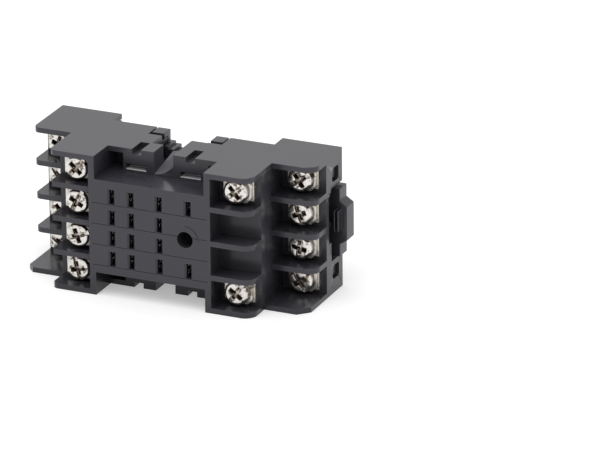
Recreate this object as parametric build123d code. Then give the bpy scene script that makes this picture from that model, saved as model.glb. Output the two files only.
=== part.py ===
from build123d import *
import os

# A screw-terminal socket for a plug-in relay. It is modelled with its rail seat at z = 0 and its relay
# face upwards: x runs along the length, y across the poles, z is the height above the rail seat.
# At the end every piece is turned onto the long side that the socket stands on.

# Overall sizes
length = 61.0
width = 29.5
face_height = 19.8
foot_depth = 3.9

# Walls of the mouldings, and the clearance between the two mouldings
side_wall = 1.1
wall = 1.2
face_wall = 1.3
tower_wall = 1.3
barrier_wall = 1.1
partition_wall = 0.8
rib_setback = 2.3
fit_gap = 0.3
overshoot = 1.0

# Rows of terminals: four poles across the width, each with a front and a back level at both ends
pole_count = 4
pole_pitch = 7.2
left_back_length = 8.1
right_back_length = 9.15
left_tower_x = -12.6
right_tower_x = 11.2
front_floor_height = 14.85
back_floor_height = 3.9
back_barrier_height = 9.6
low_skirt_height = 13.9
left_barrier_setback = 0.8
left_overhang = 0.35
left_corner_radius = 1.3
right_corner_radius = 2.5
step_setback = 0.35
step_lip = 1.5
left_skirt_chamfer = 1.3
right_skirt_chamfer = 2.2

# Relay face, with one slot for each relay blade
face_half_width = 9.9
row_pitch = 4.4
slot_columns = {"a": -9.0, "b": -4.8, "c": 1.3, "d": 7.6}
slot_width = 1.65
slot_length = 3.15
slot_lead = 0.37
line_width = 0.16
line_depth = 0.12
line_offset = 1.55
hole_x = 7.0
hole_radius = 1.7
boss_radius = 3.0

# Recesses and towers beside the relay face, where a hold-down clip hooks in
tower_height = 13.2
tower_back_height = 8.65
left_tower_start = -9.3
left_tower_end = -2.6
left_block_end = -5.0
right_tower_start = 1.65
right_tower_end = 9.3
right_block_start = 5.1
right_block_height = 4.45
gap_level_left = 10.1
gap_level_middle = 10.45
gap_level_right = 12.35
gap_middle_x = -0.95
gap_floor_rise = 1.75
clip_slot_width = 2.0
clip_slot_bottom = 8.95
left_clip_x = -6.35
right_clip_x = 5.4
left_pocket_x = -6.5
right_pocket_x = 5.4
pocket_length = 4.4
pocket_width = 1.15
pocket_depth = 2.1
pocket_edge = 10.4
well_bottom = 9.0

# Rail and its channel, the fixed hook and the sliding latch
rail_width = 35.0
rail_gap = 0.15
flange_gap = 1.4
hook_reach = 1.2
hook_inner = 3.0
hook_outer = 11.0
deck_thickness = 1.4
sill_height = 3.9
end_plate = 1.3
latch_top_gap = 0.4
latch_half_width = 7.2
latch_tongue = 1.4
latch_tongue_thickness = 1.8
latch_reach = 1.0
tab_reach = 2.5
tab_half_width = 3.6
tab_slope = 1.0
latch_frame = 1.6
latch_window_start = 19.2
latch_window_end = 26.5
latch_travel = 1.6
spring_arm = 0.7
latch_post = 3.0
grip_x = 31.85
grip_wall = 0.4
grip_slit = 0.35
grip_height = 1.6
grip_low = -1.4
grip_high = 3.0
bay_gap = 0.5
bay_notch_low = -3.6
bay_round = 2.6
web_bottom = 0.3
web_setback = 0.4
window_low = 8.85
window_high = 11.8
window_bottom = -2.1
window_top = 1.1
window_round = 0.7
catch_depth = 0.9

# Snap tongues of the rear cover, seen in the long sides
tongue_length = 2.7
tongue_height = 3.1
tongue_notch = 4.2
tongue_skin = 1.05
first_step_y = 12.5
second_step_y = 12.0
third_step_y = 11.2

# Terminal metal
plate_thickness = 0.8
plate_width = 4.1
plate_reach = 3.3
leg_thickness = 0.8
strip_width = 1.8
strip_thickness = 0.8
strip_clearance = 0.75
bypass_y = 4.35
jaw_width = 2.2
jaw_half = 0.95
leaf_thickness = 0.35
leaf_pinch = 0.15
leaf_mouth = 0.55
leaf_mouth_height = 1.2
leaf_clearance = 0.3
finger_slit = 0.5
finger_root = 0.6
clamp_length = 6.0
clamp_thickness = 0.7
clamp_clearance = 0.5
clamp_corner = 1.0
clamp_hole = 1.6
head_radius = 2.5
head_height = 1.5
head_round = 0.7
shank_radius = 1.45
shank_length = 3.7
thread_radius = 1.5
drive_width = 1.05
drive_length = 3.2
drive_depth = 1.15
drive_taper = 15
drive_slot_width = 0.9
drive_slot_depth = 0.55

# How far each row of screws stands from the wall at the inner end of its cells
screw_setback = {"left_back": 4.55, "left_front": 3.7, "right_front": 4.4, "right_back": 4.85}

half = width / 2
inner = half - side_wall
end = length / 2
left_lip = -end - left_overhang
left_step_x = -end + left_back_length
right_step_x = end - right_back_length
left_step_face = left_step_x + step_setback
right_step_face = right_step_x - step_setback
left_tower_wall = left_tower_x - tower_wall
right_tower_wall = right_tower_x + tower_wall
screw_x = {
    "left_back": left_step_face - screw_setback["left_back"],
    "left_front": left_tower_wall - screw_setback["left_front"],
    "right_front": right_tower_wall + screw_setback["right_front"],
    "right_back": right_step_face + screw_setback["right_back"],
}
channel = rail_width / 2 + rail_gap
cover_half = inner - fit_gap
inner_stop = deck_thickness + fit_gap
outer_pole_y = (inner + pole_pitch + barrier_wall / 2) / 2
pole_y = [outer_pole_y, pole_pitch / 2, -pole_pitch / 2, -outer_pole_y]
clamp_width = inner - pole_pitch - barrier_wall / 2 - 2 * clamp_clearance
row_y = [row_pitch * (1.5 - i) for i in range(pole_count)]
barrier_y = [pole_pitch * (1 - i) for i in range(pole_count - 1)]
latch_bottom = -foot_depth
latch_top = -latch_top_gap
tongue_outer = latch_half_width + latch_tongue
post_x = latch_window_end - fit_gap - latch_post
bay_half = latch_half_width + bay_gap
front_strip_level = front_floor_height - wall - strip_clearance - strip_thickness
back_strip_level = deck_thickness + fit_gap
leaf_top = face_height - face_wall - leaf_clearance
leaf_pinch_level = leaf_top - leaf_mouth_height


def block(x0, x1, y0, y1, z0, z1):
    centre = Pos((x0 + x1) / 2, (y0 + y1) / 2, (z0 + z1) / 2)
    return centre * Box(abs(x1 - x0), abs(y1 - y0), abs(z1 - z0))


def both_sides(solids):
    return solids + [mirror(solid, Plane.XZ) for solid in solids]


def corner_round(x, z, radius, inward, y0, y1):
    """What is cut away to round an upright corner at (x, z); inward points from it into the wall."""
    spare = block(x - inward * overshoot, x + inward * radius, y0, y1, z - radius, z + overshoot)
    disc = Cylinder(radius, abs(y1 - y0) + overshoot)
    return spare - Pos(x + inward * radius, (y0 + y1) / 2, z - radius) * Rot(90, 0, 0) * disc


def corner_chamfer(x, z, size, inward, y0, y1):
    """What is cut away to chamfer an upright corner at (x, z)."""
    outside = x - inward * overshoot
    points = [(x, z - size), (x + inward * size, z), (x + inward * size, z + overshoot),
              (outside, z + overshoot), (outside, z - size)]
    return prism(points, y0, y1)


def prism(points, y0, y1):
    """A solid with an outline in x and z that runs from y0 to y1."""
    outline = make_face(Polyline(*[(x, y0, z) for x, z in points], close=True))
    return extrude(outline, amount=y1 - y0, dir=(0, 1, 0))


def side_profiles():
    """Outlines of the two halves of a long side wall, each as blocks in x and z."""
    left = [
        (left_lip, left_step_x, -foot_depth, back_barrier_height),
        (left_step_x, left_tower_x, -foot_depth, face_height),
        (left_tower_x, left_block_end, -foot_depth, tower_height),
        (left_block_end, left_tower_end, tower_back_height, tower_height),
    ]
    right = [
        (right_tower_start, right_tower_x, right_block_height, tower_height),
        (right_block_start, right_tower_x, -foot_depth, tower_height),
        (right_tower_x, right_step_x, -foot_depth, face_height),
        (right_step_x, end, -foot_depth, back_barrier_height),
    ]
    return left + right


def housing():
    solids = []
    for x0, x1, z0, z1 in side_profiles():
        solids += both_sides([block(x0, x1, inner, half, z0, z1)])
    solids += [
        block(left_lip, left_step_x, -half, -inner, 0, low_skirt_height),
        block(right_step_x, end, -half, -inner, 0, low_skirt_height),
    ]
    # Terminal floors, end walls and the walls that carry the front level
    back_under = back_floor_height - wall
    front_under = front_floor_height - wall
    lip_bottom = front_floor_height - step_lip
    rib_foot = back_under + fit_gap
    solids += [
        block(-end, left_step_face + wall, -inner, inner, back_under, back_floor_height),
        block(right_step_face - wall, end, -inner, inner, back_under, back_floor_height),
        block(left_step_x, left_tower_x, -inner, inner, front_under, front_floor_height),
        block(right_tower_x, right_step_x, -inner, inner, front_under, front_floor_height),
        block(-end, -end + wall, -inner, inner, -foot_depth, back_floor_height),
        block(end - wall, end, -inner, inner, -foot_depth, back_floor_height),
        block(left_step_face, left_step_face + wall, -inner, inner, back_under, front_floor_height),
        block(right_step_face - wall, right_step_face, -inner, inner, back_under, front_floor_height),
        block(left_step_x, left_step_face + wall, -inner, inner, lip_bottom, front_floor_height),
        block(right_step_face - wall, right_step_x, -inner, inner, lip_bottom, front_floor_height),
        block(left_tower_wall, left_tower_x, -inner, inner, front_under, face_height),
        block(right_tower_x, right_tower_wall, -inner, inner, front_under, face_height),
    ]
    # Barriers between the poles
    for y in barrier_y:
        y0 = y - barrier_wall / 2
        y1 = y + barrier_wall / 2
        solids += [
            block(left_lip, left_step_face, y0, y1, back_under, back_barrier_height),
            block(left_step_x, left_tower_wall, y0, y1, front_under, face_height - left_barrier_setback),
            block(right_tower_wall, right_step_x, y0, y1, front_under, face_height),
            block(right_step_face, end, y0, y1, back_under, back_barrier_height),
            block(left_step_face, left_tower_wall - rib_setback, y0, y1, rib_foot, front_under),
            block(right_tower_wall + rib_setback, right_step_face, y0, y1, rib_foot, front_under),
        ]
    # Relay face with its side walls and the partitions behind it
    face_under = face_height - face_wall
    partition_foot = front_strip_level + strip_thickness + fit_gap
    side_foot = back_strip_level + strip_thickness + fit_gap
    face_inner = face_half_width - wall
    solids += [
        block(left_tower_x, right_tower_x, -face_half_width, face_half_width, face_under, face_height),
    ]
    solids += both_sides([
        block(left_tower_x, right_tower_x, face_inner, face_half_width, side_foot, face_height),
    ])
    for y in (-row_pitch, 0, row_pitch):
        solids.append(block(left_tower_x, right_tower_x, y - partition_wall / 2, y + partition_wall / 2,
                            partition_foot, face_under))
    # Towers at both sides of the face, with the wells beside them and the walls of the centre gap
    well_under = well_bottom - wall
    bridge_height = right_block_height + wall
    solids += both_sides([
        block(left_tower_start, left_tower_end, face_half_width, half, tower_back_height, tower_height),
        block(right_tower_start, right_tower_end, face_half_width, half, tower_back_height, tower_height),
        block(left_tower_x - wall, left_tower_start + wall, face_half_width, inner, well_under, well_bottom),
        block(right_tower_end - wall, right_tower_x + wall, face_half_width, inner, well_under, well_bottom),
        block(left_tower_x - wall, left_tower_x, face_inner, inner, well_under, front_floor_height),
        block(right_tower_x, right_tower_x + wall, face_inner, inner, well_under, front_floor_height),
        block(left_block_end - wall, left_block_end, face_inner, inner, inner_stop, tower_back_height),
        block(right_tower_start, right_tower_start + wall, face_inner, inner,
              right_block_height, tower_back_height),
        block(right_tower_start, right_block_start + wall, face_inner, inner,
              right_block_height, bridge_height),
        block(right_block_start, right_block_start + wall, face_inner, inner, inner_stop, bridge_height),
    ])
    # Hollow floor of the centre gap, which rises to the right tower and to the back
    edges = [
        Polyline((left_tower_end, gap_level_left), (left_tower_end, face_inner),
                 (right_tower_start, face_inner), (right_tower_start, gap_level_right)),
        ThreePointArc((right_tower_start, gap_level_right), (gap_middle_x, gap_level_middle),
                      (left_tower_end, gap_level_left)),
    ]
    slope = Vector(0, gap_floor_rise, sill_height + fit_gap - tower_height)
    gap_floor = extrude(make_face(edges), amount=slope.length, dir=slope)
    solids += both_sides([Pos(0, 0, tower_height) * gap_floor])
    # Boss of the mounting hole
    boss_foot = inner_stop
    boss = Cylinder(boss_radius, face_height - boss_foot, align=(Align.CENTER, Align.CENTER, Align.MIN))
    solids.append(Pos(hole_x, 0, boss_foot) * boss)
    body = Part() + solids

    cuts = []
    # Rounded and chamfered corners of the barriers and side walls
    cuts += [
        corner_round(left_lip, back_barrier_height, left_corner_radius, 1, -inner, half),
        corner_round(left_step_x, face_height, left_corner_radius, 1, -half, half),
        corner_round(right_step_x, face_height, right_corner_radius, -1, -half, half),
        corner_round(end, back_barrier_height, right_corner_radius, -1, -inner, half),
        corner_chamfer(left_lip, low_skirt_height, left_skirt_chamfer, 1, -half, -inner),
        corner_chamfer(end, low_skirt_height, right_skirt_chamfer, -1, -half, -inner),
    ]
    # Channel for the rail
    cuts.append(block(-channel, channel, -half, half, -foot_depth, 0))
    # Slots for the relay blades, and the fine lines moulded along the rows
    mouth = slot_width / 2
    throat = mouth - slot_lead
    lead_end = face_height - slot_lead
    slot = prism([(-throat, face_under), (throat, face_under), (throat, lead_end), (mouth, face_height),
                  (-mouth, face_height), (-throat, lead_end)], -slot_length / 2, slot_length / 2)
    for column, x in slot_columns.items():
        rows = row_y if column != "d" else [row_y[0], row_y[-1]]
        for y in rows:
            cuts.append(Pos(x, y, 0) * slot)
    for y in row_y:
        low = y - line_offset
        cuts.append(block(left_tower_x - wall / 2, right_tower_x + wall / 2, low - line_width, low,
                          face_height - line_depth, face_height))
    ring = Cylinder(boss_radius, line_depth) - Cylinder(boss_radius - line_width, line_depth)
    quarter = Pos(boss_radius, boss_radius, 0) * Box(2 * boss_radius, 2 * boss_radius, line_depth)
    cuts.append(Pos(hole_x, 0, face_height - line_depth / 2) * (ring & quarter))
    cuts.append(Pos(hole_x, 0, 0) * Cylinder(hole_radius, 3 * face_height))
    # Clip slots in the sides of the towers, and a pocket in the front of each tower
    for x in (left_clip_x, right_clip_x):
        x0 = x - clip_slot_width / 2
        x1 = x + clip_slot_width / 2
        cuts += both_sides([block(x0, x1, inner, half, clip_slot_bottom, tower_height)])
    pocket_bottom = tower_height - pocket_depth
    for x in (left_pocket_x, right_pocket_x):
        x0 = x - pocket_length / 2
        x1 = x + pocket_length / 2
        cuts += both_sides([
            block(x0, x1, pocket_edge, pocket_edge + pocket_width, pocket_bottom, tower_height),
        ])
    # Notches that the cover's snap tongues fill
    cuts += both_sides([
        block(left_block_end - tongue_length - fit_gap, left_block_end, inner, half, 0, tongue_notch),
        block(right_block_start, right_block_start + tongue_length + fit_gap, inner, half, 0, tongue_notch),
    ])
    # Windows for the cover's end catches, and the latch bay
    for x0, x1 in ((-end, -end + wall), (end - wall, end)):
        window = block(x0, x1, window_low, window_high, window_bottom, window_top)
        cuts += both_sides([fillet(window.edges().filter_by(Axis.X), window_round)])
    bay_front = back_floor_height - wall
    notch = block(end - wall, end, bay_notch_low, bay_half, -foot_depth, bay_front)
    notch = fillet(notch.edges().filter_by(Axis.X).group_by(Axis.Z)[-1].sort_by(Axis.Y)[-1], bay_round)
    web = block(end - wall, end - web_setback, -barrier_wall / 2, barrier_wall / 2, web_bottom, bay_front)
    bay = block(end - wall, end, -bay_half, bay_half, -foot_depth, back_floor_height - 2 * wall) + notch
    cuts.append(bay - web)
    # Holes under the screws and slots for the legs of the contacts
    for group, poles in terminal_groups():
        floor = front_floor_height if group.endswith("front") else back_floor_height
        leg = leg_span(group)
        for pole in poles:
            y = pole_y[pole]
            cuts.append(Pos(screw_x[group], y, floor - wall / 2) * Cylinder(shank_radius + fit_gap, wall))
            cuts.append(block(leg[0] - fit_gap / 2, leg[1] + fit_gap / 2, y - strip_width / 2 - fit_gap / 2,
                              y + strip_width / 2 + fit_gap / 2, floor - wall, floor))
    for cut in cuts:
        body -= cut
    return body


def terminal_groups():
    """Each end and level with the poles that have a terminal there."""
    every = list(range(pole_count))
    return [
        ("left_front", every),
        ("left_back", every),
        ("right_front", [every[0], every[-1]]),
        ("right_back", every),
    ]


def leg_span(group):
    """Where the leg of a contact goes down through the floor, under the inner end of the clamp plate."""
    inward = 1 if group.startswith("left") else -1
    far = screw_x[group] + inward * clamp_length / 2
    near = far - inward * leg_thickness
    return (min(near, far), max(near, far))


def rear_cover():
    riser = channel + wall
    far = end - wall - fit_gap
    plate_top = -foot_depth + end_plate
    tunnel = tongue_outer + fit_gap
    solids = [
        block(-riser, riser, -cover_half, cover_half, 0, deck_thickness),
        block(-riser, -channel, -cover_half, cover_half, -foot_depth, deck_thickness),
        block(-far, -channel, -cover_half, cover_half, -foot_depth, plate_top),
        block(-channel, -channel + hook_reach, hook_inner, hook_outer, -foot_depth, -flange_gap),
        block(-channel, -channel + hook_reach, -hook_outer, -hook_inner, -foot_depth, -flange_gap),
        block(channel, far, -tunnel - wall, tunnel + wall, 0, deck_thickness),
        block(post_x, latch_window_end - fit_gap, -latch_frame, latch_frame, -foot_depth + wall, 0),
    ]
    solids += both_sides([
        block(channel, riser, bay_half, cover_half, -foot_depth, deck_thickness),
        block(channel, far, bay_half, cover_half, -foot_depth, plate_top),
        block(channel, far, tunnel, tunnel + wall, -foot_depth, deck_thickness),
    ])
    # Sills that close the back of the centre gap
    solids += both_sides([
        block(left_block_end + fit_gap, right_block_start - fit_gap, face_half_width + fit_gap, cover_half,
              0, sill_height),
    ])
    # End catches that stand in the windows of the end walls
    catch_y0 = window_low + fit_gap
    catch_y1 = window_high - fit_gap
    catch_z0 = window_bottom + fit_gap
    catch_z1 = window_top - fit_gap
    for side in (-1, 1):
        solids += both_sides([
            block(side * (far - wall), side * far, catch_y0, catch_y1, -foot_depth, catch_z1),
            block(side * far, side * (far + catch_depth), catch_y0, catch_y1, catch_z0, catch_z1),
        ])
    # Snap tongues, flush with the long sides
    tongues = (
        (left_block_end - tongue_length, left_block_end),
        (right_block_start, right_block_start + tongue_length),
    )
    for x0, x1 in tongues:
        solids += both_sides([
            block(x0, x1, half - tongue_skin, half, 0, tongue_height),
            block(x0, x1, cover_half - wall, half, 0, deck_thickness),
        ])
    cover = Part() + solids
    # Deck and sills are stepped back in the gap between the towers
    steps = (
        (left_block_end, left_block_end + wall, first_step_y),
        (left_block_end + wall, left_tower_end, second_step_y),
        (left_tower_end, right_block_start, third_step_y),
    )
    cuts = []
    for x0, x1, edge in steps:
        cuts += both_sides([block(x0, x1, edge, half, 0, sill_height)])
    cuts.append(Pos(hole_x, 0, 0) * Cylinder(hole_radius, 4 * deck_thickness))
    for cut in cuts:
        cover -= cut
    return cover


def rail_latch():
    arm_tip = post_x - latch_travel - fit_gap
    lip = channel - hook_reach
    outer = end + latch_reach
    frame_inner = latch_half_width - latch_frame
    body_start = channel + fit_gap
    solids = [
        block(body_start, latch_window_start, -latch_half_width, latch_half_width, latch_bottom, latch_top),
        block(lip, body_start, -latch_half_width, latch_half_width, latch_bottom, -flange_gap),
        block(latch_window_end, outer, -latch_half_width, latch_half_width, latch_bottom, latch_top),
        block(grip_x - grip_wall, grip_x, grip_low, grip_high, latch_top, latch_top + grip_height),
        block(grip_x - grip_slit - 2 * grip_wall, grip_x - grip_slit - grip_wall, grip_low, grip_high,
              latch_top, latch_top + grip_height),
    ]
    solids += both_sides([
        block(latch_window_start, latch_window_end, frame_inner, latch_half_width, latch_bottom, latch_top),
        block(channel + wall, latch_window_end, latch_half_width, tongue_outer,
              latch_top - latch_tongue_thickness, latch_top),
    ])
    latch = Part() + solids
    # Pull tab with sloped ends
    corner = tab_half_width + tab_slope
    tab = make_face(Polyline((outer, -corner), (end + tab_reach, -tab_half_width),
                             (end + tab_reach, tab_half_width), (outer, corner), close=True))
    latch += Pos(0, 0, latch_bottom) * extrude(tab, amount=latch_top - latch_bottom)
    # Two sprung arms in the window, one piece with the latch
    arm_height = latch_top - latch_bottom - 2 * fit_gap
    for side in (-1, 1):
        root = side * frame_inner
        root_end = side * (frame_inner - 2 * spring_arm)
        arm = make_face(Polyline((latch_window_start, root), (latch_window_start, root_end), (arm_tip, 0),
                                 (arm_tip - spring_arm, 0), close=True))
        latch += Pos(0, 0, latch_bottom + fit_gap) * extrude(arm, amount=arm_height)
    # Ramp that lets the lip ride over the edge of the rail
    ramp = [(lip, latch_bottom), (lip + hook_reach, latch_bottom), (lip, latch_bottom + hook_reach)]
    latch -= prism(ramp, -latch_half_width, latch_half_width)
    return latch


def contact(group, pole):
    """One terminal plate, its leg and strip, and the jaw that grips a relay blade, bent from one sheet."""
    front = group.endswith("front")
    column = {"left_front": "a", "left_back": "b", "right_back": "c", "right_front": "d"}[group]
    jaw_x = slot_columns[column]
    inward = 1 if group.startswith("left") else -1
    y_plate = pole_y[pole]
    y_row = row_y[pole]
    floor = front_floor_height if front else back_floor_height
    level = front_strip_level if front else back_strip_level
    leg = leg_span(group)
    leg_far = leg[1] if inward > 0 else leg[0]
    leg_near = leg[0] if inward > 0 else leg[1]
    plate_far = screw_x[group] - inward * plate_reach
    y_lane = y_row
    if group == "right_back" and abs(y_row) < bypass_y:
        y_lane = bypass_y if y_row > 0 else -bypass_y
    w = strip_width / 2
    level_top = level + strip_thickness
    root = front_strip_level + strip_thickness
    jaw_x0 = jaw_x - jaw_half
    jaw_x1 = jaw_x + jaw_half
    solids = [
        block(min(plate_far, leg_far), max(plate_far, leg_far), y_plate - plate_width / 2,
              y_plate + plate_width / 2, floor, floor + plate_thickness),
        block(leg[0], leg[1], y_plate - w, y_plate + w, level, floor),
        block(leg[0], leg[1], min(y_plate, y_lane) - w, max(y_plate, y_lane) + w, level, level_top),
        block(min(leg_near, jaw_x), max(leg_near, jaw_x), y_lane - w, y_lane + w, level, level_top),
        block(jaw_x0, jaw_x1, y_row - jaw_width / 2, y_row + jaw_width / 2, front_strip_level, root),
    ]
    if y_lane != y_row:
        solids.append(block(jaw_x0, jaw_x1, min(y_row, y_lane) - w, max(y_row, y_lane) + w,
                            level, level_top))
    if not front:
        solids.append(block(jaw_x - leg_thickness / 2, jaw_x + leg_thickness / 2, y_row - w, y_row + w,
                            level, front_strip_level))
    piece = Part() + solids
    for side in (-1, 1):
        points = [
            (side * jaw_half, root - leaf_thickness),
            (side * (jaw_half - leaf_thickness), root - leaf_thickness),
            (side * leaf_pinch, leaf_pinch_level),
            (side * leaf_mouth, leaf_top),
            (side * (leaf_mouth + leaf_thickness), leaf_top),
            (side * (leaf_pinch + leaf_thickness), leaf_pinch_level),
        ]
        outline = [(jaw_x + x, z) for x, z in points]
        piece += prism(outline, y_row - jaw_width / 2, y_row + jaw_width / 2)
    # A slit parts each leaf of the jaw into two fingers
    piece -= block(jaw_x0, jaw_x1, y_row - finger_slit / 2, y_row + finger_slit / 2,
                   root + finger_root, leaf_top)
    hole = Cylinder(thread_radius, plate_thickness)
    return piece - Pos(screw_x[group], y_plate, floor + plate_thickness / 2) * hole


def clamp_plate(group, pole):
    base = plate_level(group)
    plate = Box(clamp_length, clamp_width, clamp_thickness, align=(Align.CENTER, Align.CENTER, Align.MIN))
    plate = chamfer(plate.edges().filter_by(Axis.Z), clamp_corner)
    plate -= Cylinder(clamp_hole, 3 * clamp_thickness)
    return Pos(screw_x[group], pole_y[pole], base) * plate


def screw(group, pole):
    """Pan head with a cross recess on a slot, and a plain shank at the thread's outer size."""
    base = plate_level(group) + clamp_thickness
    head = Cylinder(head_radius, head_height, align=(Align.CENTER, Align.CENTER, Align.MIN))
    head = fillet(head.edges().group_by(Axis.Z)[-1], head_round)
    shank = Cylinder(shank_radius, shank_length, align=(Align.CENTER, Align.CENTER, Align.MAX))
    piece = head + shank
    top = Pos(0, 0, head_height)
    outline = Rectangle(drive_length, drive_width)
    wing = extrude(outline, amount=drive_depth, dir=(0, 0, -1), taper=drive_taper)
    for angle in (0, 90):
        piece -= top * Rot(0, 0, angle) * wing
    piece -= top * Box(3 * head_radius, drive_slot_width, 2 * drive_slot_depth)
    return Pos(screw_x[group], pole_y[pole], base) * Rot(0, 0, drive_angle(group, pole)) * piece


def plate_level(group):
    floor = front_floor_height if group.endswith("front") else back_floor_height
    return floor + plate_thickness


# How far each screw happens to be turned, in degrees, from the first pole to the last
drive_turns = {
    "left_front": (48, 62, 20, 105),
    "left_back": (75, 130, 40, 150),
    "right_front": (40, 0, 0, 55),
    "right_back": (35, 110, 80, 125),
}


def drive_angle(group, pole):
    return drive_turns[group][pole]


def build():
    pieces = {"housing": housing(), "rear_cover": rear_cover(), "rail_latch": rail_latch()}
    makers = {"contact": contact, "clamp_plate": clamp_plate, "screw": screw}
    for group, poles in terminal_groups():
        for pole in poles:
            for name, maker in makers.items():
                pieces[f"{name}_{group}_{pole + 1}"] = maker(group, pole)
    return pieces


os.makedirs("parts", exist_ok=True)
stand = Rot(90, 0, 0)
for name, piece in build().items():
    export_step(stand * piece, f"parts/{name}.step")
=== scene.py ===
import bpy
import math
from mathutils import Matrix, Vector


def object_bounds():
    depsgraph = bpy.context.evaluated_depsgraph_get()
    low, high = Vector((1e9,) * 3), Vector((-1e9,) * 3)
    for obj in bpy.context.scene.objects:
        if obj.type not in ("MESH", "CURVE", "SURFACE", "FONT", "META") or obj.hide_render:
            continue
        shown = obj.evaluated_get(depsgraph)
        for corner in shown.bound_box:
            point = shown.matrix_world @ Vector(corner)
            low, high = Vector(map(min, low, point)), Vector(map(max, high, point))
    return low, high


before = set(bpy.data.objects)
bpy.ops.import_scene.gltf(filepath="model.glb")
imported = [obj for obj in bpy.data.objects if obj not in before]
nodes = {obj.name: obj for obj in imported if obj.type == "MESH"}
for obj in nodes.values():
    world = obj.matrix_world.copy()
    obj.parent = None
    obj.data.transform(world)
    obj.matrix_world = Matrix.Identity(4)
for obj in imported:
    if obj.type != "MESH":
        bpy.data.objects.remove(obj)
cad_box = [list(corner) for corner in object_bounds()]

# Camera: its place in metres, where it looks, its roll, and its focal length in pixels of a frame 600 wide
camera_at = Vector((0.4761, -1.0150, 0.4393))
looking = Vector((-0.3789, 0.8488, -0.3687)).normalized()
camera_roll = math.radians(-0.477)
focal_pixels = 6022.67
photo_width = 600
sensor_mm = 36.0
view_reach = 20.0

# Colours, all linear
black_moulding = (0.0540, 0.0520, 0.0630, 1.0)
black_cover = (0.0490, 0.0470, 0.0570, 1.0)
black_latch = (0.0400, 0.0385, 0.0470, 1.0)
# Painted light on the tower pocket walls and on the centre gap floor
painted_pocket_light = (0.62, 0.62, 0.63, 1.0)
painted_gap_light = (0.165, 0.162, 0.180, 1.0)
nickel_bright = (0.70, 0.675, 0.645, 1.0)
nickel_plate = (0.62, 0.60, 0.57, 1.0)
contact_nickel = (0.78, 0.745, 0.67, 1.0)
# Painted dark reflections on metal facets and painted shade in metal hollows
painted_reflection_and_shade_brown = (0.15, 0.118, 0.090, 1.0)
pale_floor = (0.86, 0.86, 0.86, 1.0)
plain_white = (1.0, 1.0, 1.0, 1.0)

# Moulded plastic: shares of its colour, and how its grain changes the gloss; bump depth in metres
moulding_shine = 0.34
flow_dark = 0.86
flow_light = 1.14
# Painted highlight on the edges, a share of the colour
painted_edge_highlight = 1.35
# Painted shade in recesses and cells, a share of the colour
painted_shade_dark = 0.5
moulding_swing = 0.10
scuff_polish = 0.16
grain_strength = 0.1
grain_depth = 0.00003

# Mould grain: the coarse grain's share of the fine scale, their heights, and long thin scuffs
coarse_grain = 0.32
fine_height = 0.55
coarse_height = 0.45
scuff_stretch = (260.0, 2600.0, 900.0)
scuff_start = 0.62
scuff_contrast = 3.0

# Plated metal: shares of its colour, and how its plating changes the gloss; depth and width in metres
tone_dark = 0.9
tone_light = 1.06
# Painted highlight on metal edges, a share of the colour
painted_metal_edge_highlight = 1.12
plating_swing = 0.12
pit_haze = 0.25
plating_depth = 0.00002
metal_edge_width = 0.00012
metal_edge_scale = 1500.0

# Nickel plating: rolling lines drawn out along the sheet, and pits
line_stretch = (1.0, 0.35, 0.12)
line_height = 0.7
pit_scale = 1400.0
pit_size = 0.16
pit_contrast = 3.0
pit_height = 0.5

# Painted edge highlight: how fast an edge shows, and how much of it shows everywhere
edge_contrast = 3.5
edge_least = 0.25
edge_samples = 4

# Painted shade, and painted dark reflections and shade on metal: how far a spot looks for what shuts it in,
# in metres, and what counts as a hollow
painted_shade_reach = 0.0065
hollow_reach = 0.0014
hollow_start = 0.78
hollow_contrast = 3.0
facet_contrast = 9.0
painted_shade_samples = 8

# Small rounded edges of the mouldings and of the metal, in metres
moulding_edge = 0.00014
metal_edge = 0.00007
edge_steps = 2
edge_angle = math.radians(38)
weld_gap = 0.000002

# Pockets in the tower fronts, whose outward walls get painted light: set for this size, in metres
pocket_spans = ((-0.0087, -0.0043), (0.0032, 0.0076))
pocket_level = 0.0104
pocket_slack = 0.00006
pocket_depth = (-0.0133, -0.0110)

# Floor of the centre gap, with painted light too: its x, y and distance from the middle, also given, in
# metres
gap_span = (-0.00257, 0.00162)
gap_depth = (-0.01319, -0.0042)
gap_height = (0.00998, 0.0143)

# Floor and studio tent: size in metres; the glow and the tent are strengths
floor_size = 8.0
floor_roughness = 0.9
floor_glow = 0.36
tent_light = 0.69

# Softboxes, aimed at the origin: places and sizes in metres, power in watts
overhead_at = (-0.10, -0.35, 0.90)
overhead_size = (0.9, 0.7)
overhead_watts = 3.2
right_at = (0.9, 0.1, 0.3)
right_size = (0.5, 0.5)
right_watts = 0.2

# Sockets of Blender's Mix node that share a name, by their number
mix_number = {"first": 2, "second": 3, "result": 0}
mix_tint = {"first": 6, "second": 7, "result": 2}


# Building blocks of the finishes
def new_group(name, inputs, outputs):
    """An empty shader node group with named inputs, each a number with its usual value, and named outputs."""
    group = bpy.data.node_groups.new(name, "ShaderNodeTree")
    for label, value in inputs.items():
        socket = group.interface.new_socket(name=label, in_out="INPUT", socket_type="NodeSocketFloat")
        socket.default_value = value
    for label in outputs:
        group.interface.new_socket(name=label, in_out="OUTPUT", socket_type="NodeSocketFloat")
    into = group.nodes.new("NodeGroupInput")
    out = group.nodes.new("NodeGroupOutput")
    return group, into, out


def place_group(tree, group, **values):
    """Places a group in a material, with its own values for the inputs that are named."""
    node = tree.nodes.new("ShaderNodeGroup")
    node.node_tree = group
    for label, value in values.items():
        node.inputs[label.replace("_", " ")].default_value = value
    return node


def feed(tree, value, socket):
    """Sets a socket to a plain value, or links it to another node's output."""
    if isinstance(value, (int, float, tuple)):
        socket.default_value = value
    else:
        tree.links.new(value, socket)


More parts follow.
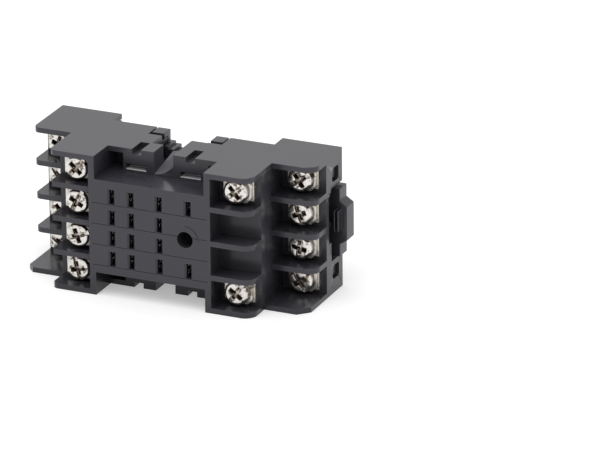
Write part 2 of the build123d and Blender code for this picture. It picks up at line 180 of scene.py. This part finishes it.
def add_math(tree, operation, first, second, clamp=False):
    node = tree.nodes.new("ShaderNodeMath")
    node.operation = operation
    node.use_clamp = clamp
    feed(tree, first, node.inputs[0])
    feed(tree, second, node.inputs[1])
    return node.outputs[0]


def add_ramp(tree, first, second, contrast):
    """A mask from 0 to 1 of how far the first value is above the second."""
    above = add_math(tree, "SUBTRACT", first, second, True)
    return add_math(tree, "MULTIPLY", above, contrast, True)


def within(tree, value, low, high):
    above = add_math(tree, "GREATER_THAN", value, low)
    return add_math(tree, "MULTIPLY", above, add_math(tree, "LESS_THAN", value, high))


def object_place(tree):
    """A point's place on the object, in metres."""
    return tree.nodes.new("ShaderNodeTexCoord").outputs["Object"]


def add_stretch(tree, place, scale):
    node = tree.nodes.new("ShaderNodeMapping")
    node.inputs["Scale"].default_value = scale
    tree.links.new(place, node.inputs["Vector"])
    return node.outputs["Vector"]


def add_noise(tree, place, scale, detail, rough):
    node = tree.nodes.new("ShaderNodeTexNoise")
    node.inputs["Detail"].default_value = detail
    node.inputs["Roughness"].default_value = rough
    tree.links.new(place, node.inputs["Vector"])
    feed(tree, scale, node.inputs["Scale"])
    return node.outputs["Fac"]


def add_openness(tree, reach):
    """How open a point is: 1 where nothing stands within reach of it."""
    node = tree.nodes.new("ShaderNodeAmbientOcclusion")
    node.samples = painted_shade_samples
    node.inputs["Distance"].default_value = reach
    return node.outputs["AO"]


def mix_colour(tree, factor, first, second):
    node = tree.nodes.new("ShaderNodeMix")
    node.data_type = "RGBA"
    tree.links.new(factor, node.inputs[0])
    feed(tree, first, node.inputs[mix_tint["first"]])
    feed(tree, second, node.inputs[mix_tint["second"]])
    return node.outputs[mix_tint["result"]]


def add_bump(tree, height, strength, depth, shader):
    node = tree.nodes.new("ShaderNodeBump")
    node.inputs["Strength"].default_value = strength
    node.inputs["Distance"].default_value = depth
    tree.links.new(height, node.inputs["Height"])
    tree.links.new(node.outputs["Normal"], shader.inputs["Normal"])


def seen_directly(tree):
    """1 for rays from the camera and for mirrored or transmitted rays, 0 for diffuse light."""
    path = tree.nodes.new("ShaderNodeLightPath")
    seen = add_math(tree, "MAXIMUM", path.outputs["Is Camera Ray"], path.outputs["Is Glossy Ray"])
    return add_math(tree, "MAXIMUM", seen, path.outputs["Is Transmission Ray"])


def blank_material(name):
    material = bpy.data.materials.new(name)
    material.use_nodes = True
    tree = material.node_tree
    return material, tree, tree.nodes["Principled BSDF"]


def shaded(colour, factor):
    return tuple(channel * factor for channel in colour[:3]) + (1.0,)


# Effects that several materials share
def mould_grain_group():
    """Spark-eroded mould texture, slow flow shading and faint scuffs of an injection moulding."""
    group, into, out = new_group(
        "mould grain", {"Grain Scale": 3200.0, "Flow Scale": 90.0, "Scuff Amount": 0.3},
        ["Height", "Shade", "Polish"])
    place = object_place(group)
    fine = add_noise(group, place, into.outputs["Grain Scale"], detail=3.0, rough=0.6)
    coarse_scale = add_math(group, "MULTIPLY", into.outputs["Grain Scale"], coarse_grain)
    coarse = add_noise(group, place, coarse_scale, detail=2.0, rough=0.5)
    flow = add_noise(group, place, into.outputs["Flow Scale"], detail=3.0, rough=0.55)
    scuff = add_noise(group, add_stretch(group, place, scuff_stretch), 1.0, detail=4.0, rough=0.7)
    scuff_line = add_ramp(group, scuff, scuff_start, scuff_contrast)
    scuffed = add_math(group, "MULTIPLY", scuff_line, into.outputs["Scuff Amount"])
    fine_part = add_math(group, "MULTIPLY", fine, fine_height)
    coarse_part = add_math(group, "MULTIPLY", coarse, coarse_height)
    group.links.new(add_math(group, "ADD", fine_part, coarse_part), out.inputs["Height"])
    group.links.new(flow, out.inputs["Shade"])
    group.links.new(scuffed, out.inputs["Polish"])
    return group


def edge_highlight_group():
    """A mask of the outer edges, where a paler line is painted as a highlight."""
    group, into, out = new_group("edge catch", {"Width": 0.00025, "Break Up": 700.0}, ["Edge"])
    rounded = group.nodes.new("ShaderNodeBevel")
    rounded.samples = edge_samples
    group.links.new(into.outputs["Width"], rounded.inputs["Radius"])
    geometry = group.nodes.new("ShaderNodeNewGeometry")
    alike = group.nodes.new("ShaderNodeVectorMath")
    alike.operation = "DOT_PRODUCT"
    group.links.new(rounded.outputs["Normal"], alike.inputs[0])
    group.links.new(geometry.outputs["Normal"], alike.inputs[1])
    bend = add_ramp(group, 1.0, alike.outputs["Value"], edge_contrast)
    patch = add_noise(group, object_place(group), into.outputs["Break Up"], detail=2.0, rough=0.6)
    broken = add_math(group, "MULTIPLY", bend, add_math(group, "ADD", patch, edge_least, True))
    group.links.new(broken, out.inputs["Edge"])
    return group


def plating_group():
    """Nickel plating: faint rolling lines, tiny pits and slow changes of tone."""
    group, into, out = new_group(
        "nickel plating", {"Line Scale": 2500.0, "Tone Scale": 420.0}, ["Height", "Tone", "Haze"])
    place = object_place(group)
    lines = add_noise(group, add_stretch(group, place, line_stretch), into.outputs["Line Scale"],
                      detail=3.0, rough=0.65)
    tone = add_noise(group, place, into.outputs["Tone Scale"], detail=3.0, rough=0.55)
    pits = group.nodes.new("ShaderNodeTexVoronoi")
    pits.inputs["Scale"].default_value = pit_scale
    group.links.new(place, pits.inputs["Vector"])
    pit = add_ramp(group, pit_size, pits.outputs["Distance"], pit_contrast)
    raised = add_math(group, "MULTIPLY", lines, line_height)
    sunk = add_math(group, "MULTIPLY", pit, pit_height)
    group.links.new(add_math(group, "SUBTRACT", raised, sunk), out.inputs["Height"])
    group.links.new(tone, out.inputs["Tone"])
    group.links.new(pit, out.inputs["Haze"])
    return group


def pocket_group():
    """Masks of the outward walls of the pockets in the tower fronts, and of the floor between the towers,
    where light is painted.
    """
    group, into, out = new_group(
        "pocket walls", {"Level": pocket_level, "Slack": pocket_slack}, ["Wall", "Gap Floor"])
    split = group.nodes.new("ShaderNodeSeparateXYZ")
    group.links.new(object_place(group), split.inputs[0])
    x, y, z = split.outputs
    outward = add_math(group, "ABSOLUTE", z, 0.0)
    off = add_math(group, "SUBTRACT", outward, into.outputs["Level"])
    level = add_math(group, "LESS_THAN", add_math(group, "ABSOLUTE", off, 0.0), into.outputs["Slack"])
    spans = [within(group, x, *span) for span in pocket_spans]
    face = add_math(group, "MULTIPLY", level, within(group, y, *pocket_depth))
    wall = add_math(group, "MULTIPLY", face, add_math(group, "MAXIMUM", *spans))
    gap = add_math(group, "MULTIPLY", within(group, x, *gap_span), within(group, y, *gap_depth))
    gap_floor = add_math(group, "MULTIPLY", gap, within(group, outward, *gap_height))
    group.links.new(wall, out.inputs["Wall"])
    group.links.new(gap_floor, out.inputs["Gap Floor"])
    return group


def painted_shade_group():
    """Painted shade: how open a spot of a moulding is, with recesses and cells between barriers painted
    darker.
    """
    group, into, out = new_group("painted_shade", {"Power": 2.2}, ["Open"])
    openness = add_math(group, "POWER", add_openness(group, painted_shade_reach), into.outputs["Power"], True)
    group.links.new(openness, out.inputs["Open"])
    return group


def painted_dark_group():
    """Painted dark, brownish patches on plated metal: painted shade in its hollows, and painted dark
    reflections on facets scattered by noise.
    """
    group, into, out = new_group(
        "painted dark reflections and shade", {"Facet Scale": 900.0, "Facet Share": 0.5, "Hollow": 1.0}, ["Smoke"])
    patch = add_noise(group, object_place(group), into.outputs["Facet Scale"], detail=2.0, rough=0.6)
    limit = add_math(group, "SUBTRACT", 1.0, into.outputs["Facet Share"])
    facet = add_ramp(group, patch, limit, facet_contrast)
    shut = add_ramp(group, hollow_start, add_openness(group, hollow_reach), hollow_contrast)
    hollow = add_math(group, "MULTIPLY", shut, into.outputs["Hollow"])
    group.links.new(add_math(group, "MAXIMUM", facet, hollow, True), out.inputs["Smoke"])
    return group


# Materials
def moulded_plastic(name, colour, roughness, grain_scale, scuffs):
    """Near-black moulding with painted shade where it is sheltered, painted highlights on its edges, and
    painted light on the pocket walls and gap floor of the towers.
    """
    material, tree, shader = blank_material(name)
    grain = place_group(tree, mould_grain, Grain_Scale=grain_scale, Scuff_Amount=scuffs)
    edges = place_group(tree, edge_highlight_mask)
    walls = place_group(tree, painted_light_masks)
    painted_shade = place_group(tree, painted_shade_mask)
    base = mix_colour(tree, grain.outputs["Shade"], shaded(colour, flow_dark), shaded(colour, flow_light))
    # Painted highlight on the edges
    with_edge_highlight = mix_colour(tree, edges.outputs["Edge"], base, shaded(colour, painted_edge_highlight))
    # Painted shade in recesses and cells between barriers
    with_painted_shade = mix_colour(tree, painted_shade.outputs["Open"], shaded(colour, painted_shade_dark), with_edge_highlight)
    # Painted light on the gap floor and the pocket walls
    gap = mix_colour(tree, walls.outputs["Gap Floor"], with_painted_shade, painted_gap_light)
    tree.links.new(mix_colour(tree, walls.outputs["Wall"], gap, painted_pocket_light), shader.inputs["Base Color"])
    shader.inputs["Specular IOR Level"].default_value = moulding_shine
    smoother = add_math(tree, "MULTIPLY", grain.outputs["Polish"], scuff_polish)
    swing = add_math(tree, "MULTIPLY", grain.outputs["Shade"], moulding_swing)
    duller = add_math(tree, "ADD", swing, roughness - moulding_swing / 2)
    tree.links.new(add_math(tree, "SUBTRACT", duller, smoother, True), shader.inputs["Roughness"])
    add_bump(tree, grain.outputs["Height"], grain_strength, grain_depth, shader)
    return material


def plated_metal(name, colour, roughness, line_scale, bump_strength, facets, hollow):
    """Nickel-plated metal with painted highlights on its edges, painted dark reflections on facets and
    painted shade in its hollows.
    """
    material, tree, shader = blank_material(name)
    plating = place_group(tree, nickel_plating, Line_Scale=line_scale)
    edges = place_group(tree, edge_highlight_mask, Width=metal_edge_width, Break_Up=metal_edge_scale)
    dark_reflection_shade = place_group(tree, painted_dark_masks, Facet_Share=facets, Hollow=hollow)
    base = mix_colour(tree, plating.outputs["Tone"], shaded(colour, tone_dark), shaded(colour, tone_light))
    # Painted highlight on the metal edges
    bright = mix_colour(tree, edges.outputs["Edge"], base, shaded(colour, painted_metal_edge_highlight))
    # Painted dark reflections on facets and painted shade in hollows
    tree.links.new(mix_colour(tree, dark_reflection_shade.outputs["Smoke"], bright, painted_reflection_and_shade_brown), shader.inputs["Base Color"])
    shader.inputs["Metallic"].default_value = 1.0
    haze = add_math(tree, "MULTIPLY", plating.outputs["Haze"], pit_haze)
    swing = add_math(tree, "MULTIPLY", plating.outputs["Tone"], plating_swing)
    duller = add_math(tree, "ADD", swing, haze)
    rough = add_math(tree, "ADD", duller, roughness - plating_swing / 2, True)
    tree.links.new(rough, shader.inputs["Roughness"])
    add_bump(tree, plating.outputs["Height"], bump_strength, plating_depth, shader)
    return material


def dress(node, material, edge):
    """Gives a CAD node its finish and small rounded edges."""
    piece = nodes[node]
    for slot in piece.material_slots:
        slot.material = material
    weld = piece.modifiers.new("weld", "WELD")
    weld.merge_threshold = weld_gap
    bevel = piece.modifiers.new("edges", "BEVEL")
    bevel.width = edge
    bevel.segments = edge_steps
    bevel.limit_method = "ANGLE"
    bevel.angle_limit = edge_angle
    bevel.use_clamp_overlap = True
    normals = piece.modifiers.new("normals", "WEIGHTED_NORMAL")
    normals.keep_sharp = False


# Stage and lights
def make_floor(level):
    """A pale floor, brighter where it is seen directly or mirrored, so that it looks white there."""
    half = floor_size / 2
    mesh = bpy.data.meshes.new("floor")
    corners = [(-half, -half, level), (half, -half, level), (half, half, level), (-half, half, level)]
    mesh.from_pydata(corners, [], [(0, 1, 2, 3)])
    floor = bpy.data.objects.new("floor", mesh)
    bpy.context.scene.collection.objects.link(floor)
    material, tree, shader = blank_material("pale floor")
    shader.inputs["Base Color"].default_value = pale_floor
    shader.inputs["Roughness"].default_value = floor_roughness
    shader.inputs["Specular IOR Level"].default_value = 0.0
    shader.inputs["Emission Color"].default_value = plain_white
    glow = add_math(tree, "MULTIPLY", seen_directly(tree), floor_glow)
    tree.links.new(glow, shader.inputs["Emission Strength"])
    mesh.materials.append(material)


def make_world():
    """A pale studio tent, plain white where it is seen directly or mirrored."""
    world = bpy.data.worlds.new("studio tent")
    world.use_nodes = True
    tree = world.node_tree
    background = tree.nodes["Background"]
    background.inputs["Color"].default_value = plain_white
    strength = tree.nodes.new("ShaderNodeMix")
    tree.links.new(seen_directly(tree), strength.inputs[0])
    strength.inputs[mix_number["first"]].default_value = tent_light
    strength.inputs[mix_number["second"]].default_value = 1.0
    tree.links.new(strength.outputs[mix_number["result"]], background.inputs["Strength"])
    bpy.context.scene.world = world


def make_softbox(name, place, size, watts):
    light = bpy.data.lights.new(name, "AREA")
    light.shape = "RECTANGLE"
    light.size, light.size_y = size
    light.energy = watts
    lamp = bpy.data.objects.new(name, light)
    lamp.location = place
    lamp.rotation_euler = (-Vector(place)).to_track_quat("-Z", "Y").to_euler()
    bpy.context.scene.collection.objects.link(lamp)


def make_camera():
    right = looking.cross(Vector((0, 0, 1))).normalized()
    up = right.cross(looking).normalized()
    across = math.cos(camera_roll) * right + math.sin(camera_roll) * up
    above = -math.sin(camera_roll) * right + math.cos(camera_roll) * up
    data = bpy.data.cameras.new("camera")
    data.sensor_width = sensor_mm
    data.lens = focal_pixels / photo_width * sensor_mm
    data.clip_end = view_reach
    camera = bpy.data.objects.new("camera", data)
    turn = Matrix((across, above, -looking)).transposed().to_4x4()
    camera.matrix_world = Matrix.Translation(camera_at) @ turn
    bpy.context.scene.collection.objects.link(camera)
    bpy.context.scene.camera = camera


# Finishes of this object
mould_grain = mould_grain_group()
edge_highlight_mask = edge_highlight_group()
nickel_plating = plating_group()
painted_light_masks = pocket_group()
painted_shade_mask = painted_shade_group()
painted_dark_masks = painted_dark_group()
housing_finish = moulded_plastic(
    "housing moulding", black_moulding, roughness=0.22, grain_scale=3200.0, scuffs=0.35)
cover_finish = moulded_plastic(
    "rear cover moulding", black_cover, roughness=0.26, grain_scale=2800.0, scuffs=0.2)
latch_finish = moulded_plastic(
    "latch moulding", black_latch, roughness=0.24, grain_scale=3600.0, scuffs=0.5)
screw_finish = plated_metal(
    "screw nickel", nickel_bright, roughness=0.15, line_scale=2600.0, bump_strength=0.12, facets=0.47,
    hollow=1.0)
clamp_finish = plated_metal(
    "clamp plate nickel", nickel_plate, roughness=0.22, line_scale=2200.0, bump_strength=0.2, facets=0.43,
    hollow=0.8)
contact_finish = plated_metal(
    "contact nickel", contact_nickel, roughness=0.27, line_scale=1800.0, bump_strength=0.22, facets=0.36,
    hollow=0.0)

# Pieces
dress("housing", housing_finish, moulding_edge)
dress("rear_cover", cover_finish, moulding_edge)
dress("rail_latch", latch_finish, moulding_edge)
for name in sorted(nodes):
    if name.startswith("contact_"):
        dress(name, contact_finish, metal_edge)
    elif name.startswith("clamp_plate_"):
        dress(name, clamp_finish, metal_edge)
    elif name.startswith("screw_"):
        dress(name, screw_finish, metal_edge)

# Studio: the object stands on the floor with its lowest side
make_floor(cad_box[0][2])
make_world()
make_softbox("overhead softbox", overhead_at, overhead_size, overhead_watts)
make_softbox("right softbox", right_at, right_size, right_watts)
make_camera()
bpy.context.scene.view_settings.view_transform = "Standard"
